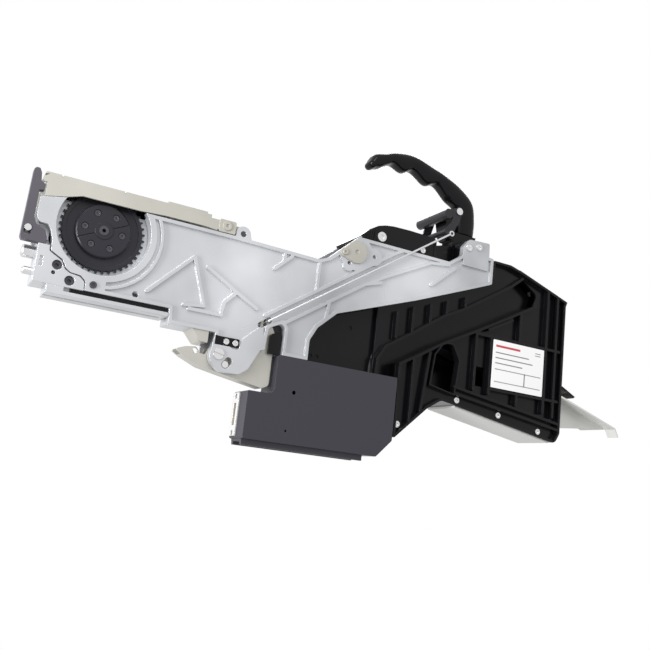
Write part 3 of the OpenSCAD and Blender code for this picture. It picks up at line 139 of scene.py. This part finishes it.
def lamp(name, offset, wide, high, power):
    """An area lamp that looks at the middle of the feeder from an offset in metres."""
    data = bpy.data.lights.new(name, "AREA")
    data.shape = "RECTANGLE"
    data.size = wide
    data.size_y = high
    data.energy = power
    made = bpy.data.objects.new(name, data)
    made.location = middle + Vector(offset)
    made.rotation_euler = (-Vector(offset)).to_track_quat("-Z", "Y").to_euler()
    bpy.context.scene.collection.objects.link(made)
    return made


lamps = [
    lamp("key", (-0.45, -0.90, 0.95), 0.8, 0.8, 11),
    lamp("left_strip", (-1.10, -0.35, -0.10), 0.25, 0.9, 18),
    lamp("back", (0.60, 0.90, 0.70), 0.6, 0.6, 6),
]
print("lamps:", [made.name for made in lamps])

# %% [markdown]
# ## Shared surface detail
# One shader group serves every finish. It gives a slow cloudiness that shades the colour and moves the
# roughness, and a normal that rounds each hard edge a little and carries a fine grain. The edges could
# be cut with a Bevel modifier, but a Bevel node is lighter and leaves the meshes as they came. Each
# material says how much of each effect it wants.

# %% Surface group
SHADE_SWING = 4.0  # how far the clouds move the colour
ROUGHNESS_SWING = -2.0  # darker clouds are rougher
EDGE_SAMPLES = 4
GRAIN_DEPTH = 0.1 * MM

surface = bpy.data.node_groups.new("surface_detail", "ShaderNodeTree")
for name, start in (("Clouds", 0.05), ("Cloud Scale", 18.0), ("Grain", 0.1),
                    ("Grain Scale", 900.0), ("Edge", 0.0003)):
    socket = surface.interface.new_socket(name, in_out="INPUT", socket_type="NodeSocketFloat")
    socket.default_value = start
for name, kind in (("Shade", "NodeSocketFloat"), ("Roughness Shift", "NodeSocketFloat"),
                   ("Normal", "NodeSocketVector")):
    surface.interface.new_socket(name, in_out="OUTPUT", socket_type=kind)
given = surface.nodes.new("NodeGroupInput")
result = surface.nodes.new("NodeGroupOutput")
place = surface.nodes.new("ShaderNodeTexCoord")


def noise(scale, detail):
    """A noise texture in the group, in the object's own coordinates."""
    made = surface.nodes.new("ShaderNodeTexNoise")
    made.inputs["Detail"].default_value = detail
    surface.links.new(place.outputs["Object"], made.inputs["Vector"])
    if isinstance(scale, float):
        made.inputs["Scale"].default_value = scale
    else:
        surface.links.new(scale, made.inputs["Scale"])
    return made.outputs["Fac"]


def math_node(operation, *values):
    """A math node whose inputs are numbers or sockets."""
    made = surface.nodes.new("ShaderNodeMath")
    made.operation = operation
    for socket, value in zip(made.inputs, values):
        if isinstance(value, (int, float)):
            socket.default_value = value
        else:
            surface.links.new(value, socket)
    return made.outputs[0]


# The slow clouds lighten and darken the colour; where a finish asks for strong clouds, as the casting
# does, they paint patches of reflection over its own uneven tone.
slow = noise(given.outputs["Cloud Scale"], 3.0)
swing = math_node("MULTIPLY", math_node("SUBTRACT", slow, 0.5), given.outputs["Clouds"])
shade = math_node("ADD", math_node("MULTIPLY", swing, SHADE_SWING), 1.0)
surface.links.new(shade, result.inputs["Shade"])
shift = math_node("MULTIPLY", swing, ROUGHNESS_SWING)
surface.links.new(shift, result.inputs["Roughness Shift"])
edge = surface.nodes.new("ShaderNodeBevel")
edge.samples = EDGE_SAMPLES
surface.links.new(given.outputs["Edge"], edge.inputs["Radius"])
bump = surface.nodes.new("ShaderNodeBump")
bump.inputs["Distance"].default_value = GRAIN_DEPTH
surface.links.new(given.outputs["Grain"], bump.inputs["Strength"])
surface.links.new(noise(given.outputs["Grain Scale"], 2.0), bump.inputs["Height"])
surface.links.new(edge.outputs["Normal"], bump.inputs["Normal"])
surface.links.new(bump.outputs["Normal"], result.inputs["Normal"])
print("surface group has", len(surface.nodes), "nodes")

# %% [markdown]
# ## One material for each finish
# The record names a slot for every piece. Each slot gets one material with the same build: a colour
# shaded by the clouds, a roughness that moves with them, and the group's normal. Cast aluminium is
# part metal, and its strong clouds are painted reflection: pale and dark patches that stand in for the
# soft reflections on a casting, laid over its own uneven tone. The moulded black plastic is smooth
# with a weak sheen, so that only what faces a lamp shines.

# %% Materials
COAT_ROUGHNESS = 0.12


def finish(slot, colour, roughness, metallic=0.0, specular=0.5, clouds=0.03, cloud_scale=18.0,
           grain=0.1, grain_scale=900.0, edge_mm=0.25, coat=0.0):
    """The material of one slot."""
    made = bpy.data.materials.new("finish_" + slot)
    made.use_nodes = True
    tree = made.node_tree
    shader = tree.nodes["Principled BSDF"]
    detail = tree.nodes.new("ShaderNodeGroup")
    detail.node_tree = surface
    for name, value in (("Clouds", clouds), ("Cloud Scale", cloud_scale), ("Grain", grain),
                        ("Grain Scale", grain_scale), ("Edge", edge_mm * MM)):
        detail.inputs[name].default_value = value
    tint = tree.nodes.new("ShaderNodeVectorMath")
    tint.operation = "SCALE"
    tint.inputs[0].default_value = colour
    tree.links.new(detail.outputs["Shade"], tint.inputs["Scale"])
    tree.links.new(tint.outputs[0], shader.inputs["Base Color"])
    shift = tree.nodes.new("ShaderNodeMath")
    shift.use_clamp = True
    shift.inputs[1].default_value = roughness
    tree.links.new(detail.outputs["Roughness Shift"], shift.inputs[0])
    tree.links.new(shift.outputs[0], shader.inputs["Roughness"])
    tree.links.new(detail.outputs["Normal"], shader.inputs["Normal"])
    shader.inputs["Metallic"].default_value = metallic
    shader.inputs["Specular IOR Level"].default_value = specular
    shader.inputs["Coat Weight"].default_value = coat
    shader.inputs["Coat Roughness"].default_value = COAT_ROUGHNESS
    return made


finishes = {
    # Strong clouds here: painted reflection patches on the casting, over its own uneven tone.
    "cast_aluminium": finish("cast_aluminium", (0.47, 0.48, 0.50), 0.34, metallic=0.6, clouds=0.38,
                             cloud_scale=12.0, grain=0.3, grain_scale=700.0, edge_mm=0.5),
    "machined_steel": finish("machined_steel", (0.62, 0.62, 0.63), 0.25, metallic=0.9),
    "zinc_steel": finish("zinc_steel", (0.46, 0.45, 0.41), 0.34, metallic=0.6, clouds=0.08,
                         cloud_scale=40.0),
    "black_plastic": finish("black_plastic", (0.004, 0.004, 0.005), 0.22, specular=0.16, clouds=0.04,
                            grain=0.06, edge_mm=0.4, coat=0.06),
    "grip_plastic": finish("grip_plastic", (0.004, 0.004, 0.005), 0.20, specular=0.12, grain=0.04,
                           edge_mm=0.5, coat=0.08),
    "dark_lever": finish("dark_lever", (0.022, 0.022, 0.026), 0.32, metallic=0.2, specular=0.3),
    "latch_paint": finish("latch_paint", (0.070, 0.064, 0.080), 0.42, metallic=0.2, clouds=0.06,
                          cloud_scale=60.0, edge_mm=0.4),
    "guide_sheet": finish("guide_sheet", (0.42, 0.41, 0.365), 0.42, metallic=0.25, clouds=0.10,
                          cloud_scale=25.0, edge_mm=0.3),
    "sheet_metal": finish("sheet_metal", (0.030, 0.028, 0.037), 0.42, specular=0.35, clouds=0.03,
                          grain=0.2, edge_mm=0.3),
    "blackened_steel": finish("blackened_steel", (0.014, 0.014, 0.020), 0.30, metallic=0.2,
                              specular=0.4, clouds=0.05, cloud_scale=50.0, edge_mm=0.3),
    "screw_steel": finish("screw_steel", (0.66, 0.66, 0.66), 0.22, metallic=0.9, edge_mm=0.15),
    "dark_screw": finish("dark_screw", (0.060, 0.060, 0.068), 0.28, metallic=0.5, edge_mm=0.15),
    "brass": finish("brass", (0.56, 0.42, 0.15), 0.30, metallic=0.9),
    "rubber": finish("rubber", (0.012, 0.012, 0.012), 0.75, specular=0.2),
    "circuit_board": finish("circuit_board", (0.012, 0.090, 0.035), 0.4),
    "connector": finish("connector", (0.62, 0.62, 0.61), 0.35, metallic=0.4),
    "label_white": finish("label_white", (0.86, 0.86, 0.86), 0.5, clouds=0.0, grain=0.0, edge_mm=0.1),
    "grey_plate": finish("grey_plate", (0.62, 0.62, 0.60), 0.42, metallic=0.2, clouds=0.03),
    "button_green": finish("button_green", (0.035, 0.16, 0.07), 0.3),
    "button_grey": finish("button_grey", (0.50, 0.50, 0.49), 0.3),
    "lamp": finish("lamp", (0.60, 0.05, 0.02), 0.15, coat=0.5),
}
wanted = {entry["node"]: entry["material_slot"] for entry in frame["record"]["subparts"]}
for name, node in nodes.items():
    node.data.materials.clear()
    node.data.materials.append(finishes[wanted[name]])
print("finishes:", len(finishes), "on", len(wanted), "pieces")

# %% [markdown]
# ## Smooth where it is round
# A turned face should shade as one surface, while a machined corner should stay crisp. So every face
# is set smooth, and every edge that turns by more than a set angle is marked sharp. The grip is the
# one free-form piece, made of many small panels. A Weld modifier joins their corners, and a
# subdivision turns them into one soft form.

# %% Shading
SHARP_ANGLE = 28  # degrees
WELD_DISTANCE = 0.01 * MM
GRIP_LEVELS = 1

for node in nodes.values():
    mesh = node.data
    mesh.polygons.foreach_set("use_smooth", [True] * len(mesh.polygons))
    mesh.set_sharp_from_angle(angle=math.radians(SHARP_ANGLE))
grip = nodes["handle_grip"]
weld = grip.modifiers.new("weld", "WELD")
weld.merge_threshold = WELD_DISTANCE
soft = grip.modifiers.new("soft", "SUBSURF")
soft.levels = GRIP_LEVELS
soft.render_levels = GRIP_LEVELS
print("shaded", len(nodes), "pieces")

# %% [markdown]
# ## The rating plate
# The plate carries only ruled lines: a dull red rule at the top, three grey rules under it, an empty
# field between two long rules with one upright, and two short marks in the corner. They could be a
# pattern in the material, but thin raised bars stay sharp from near by. Every bar is placed in shares
# of the plate's own box.

# %% Rating plate rules
def bars(name, list_of_boxes, material, body):
    """One mesh made of boxes, each from its lowest to its highest corner."""
    mesh = bpy.data.meshes.new(name)
    shape = bmesh.new()
    for low, high in list_of_boxes:
        size = Vector(high) - Vector(low)
        centre = (Vector(high) + Vector(low)) / 2
        bmesh.ops.create_cube(shape, size=1.0,
                              matrix=Matrix.Translation(centre) @ Matrix.Diagonal((*size, 1.0)))
    shape.to_mesh(mesh)
    shape.free()
    made = bpy.data.objects.new(name, mesh)
    bpy.context.scene.collection.objects.link(made)
    mesh.materials.append(material)
    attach(made, body)
    return made


def plain(name, colour, roughness=0.6):
    """A plain printed colour."""
    made = bpy.data.materials.new(name)
    made.use_nodes = True
    shader = made.node_tree.nodes["Principled BSDF"]
    shader.inputs["Base Color"].default_value = (*colour, 1.0)
    shader.inputs["Roughness"].default_value = roughness
    return made


plate_low, plate_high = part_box("rating_plate")
face = plate_low[1]
plate_l = plate_high[0] - plate_low[0]
plate_h = plate_high[2] - plate_low[2]
skin = 0.06 * MM  # how far a bar stands out of the plate's face


def rule(left, right, top, thick):
    """A bar on the plate, in shares of its length and height."""
    return ((plate_low[0] + left * plate_l, face - skin, plate_high[2] - (top + thick) * plate_h),
            (plate_low[0] + right * plate_l, face + skin, plate_high[2] - top * plate_h))


grey_print = plain("print_grey", (0.20, 0.20, 0.21))
red_print = plain("print_red", (0.50, 0.06, 0.08))
bars("plate_red_rule", [rule(0.05, 0.52, 0.10, 0.045)], red_print, "feeder_base")
bars("plate_rules", [
    rule(0.05, 0.70, 0.25, 0.022), rule(0.05, 0.78, 0.36, 0.022), rule(0.05, 0.58, 0.47, 0.022),
    rule(0.05, 0.95, 0.60, 0.016), rule(0.05, 0.95, 0.86, 0.016), rule(0.62, 0.64, 0.60, 0.27),
    rule(0.82, 0.93, 0.10, 0.016), rule(0.82, 0.93, 0.15, 0.016),
], grey_print, "feeder_base")
print("rating plate ruled")

# %% [markdown]
# ## Painted shadow in the rail's slot
# A thin black strip fills the slot between the casting and the rail under it. It is painted shadow,
# standing where the slot lies in shade. It is one flat bar, so the same helper makes it. It is placed
# from the front end of the rail, and it stays a little behind the casting's face.

# %% Rail slot shadow
STRIP_START = 14 * MM  # from the rail's front end
STRIP_END = 74.4 * MM
STRIP_TOP = -18.6 * MM  # just under the slot's upper edge
STRIP_HEIGHT = 2.8 * MM
STRIP_DEPTHS = (1.4 * MM, 4.6 * MM)  # behind the casting's face

rail_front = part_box("bottom_rail")[0][0]
casting_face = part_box("main_frame")[0][1]
# A black bar that paints the shadow inside the slot.
bars("rail_slot_shadow", [((rail_front + STRIP_START, casting_face + STRIP_DEPTHS[0],
                      STRIP_TOP - STRIP_HEIGHT),
                     (rail_front + STRIP_END, casting_face + STRIP_DEPTHS[1], STRIP_TOP))],
     finishes["black_plastic"], "feeder_base")
print("rail strip fitted")

# %% [markdown]
# ## Contacts of the connector
# Two rows of small brass blades stand inside the connector on the front of the electronics box. An
# Array modifier could repeat one blade, but a loop keeps them all in one mesh and measures every one
# from the middle of the connector's own box.

# %% Connector contacts
BLADES_IN_ROW = 10
BLADE_PITCH = 1.35 * MM
ROW_OFFSET = 0.9 * MM
BLADE_DEPTH = 2.6 * MM
BLADE_HALF = Vector((2.2, 0.3, 0.25)) * MM

socket_low, socket_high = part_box("box_connector")
socket_mid = (socket_low + socket_high) / 2
blades = []
for row in (-1, 1):
    for index in range(BLADES_IN_ROW):
        step = index - (BLADES_IN_ROW - 1) / 2
        at = Vector((socket_low[0] + BLADE_DEPTH, socket_mid[1] + row * ROW_OFFSET,
                     socket_mid[2] + step * BLADE_PITCH))
        blades.append((at - BLADE_HALF, at + BLADE_HALF))
bars("connector_contacts", blades, finishes["brass"], "feeder_base")
print("contacts:", len(blades))

# %% [markdown]
# ## The last line
# The bounds of the frame as it was loaded are taken when it comes in; this cell only prints a last
# line.

# %% Finish
print("feeder dressed")
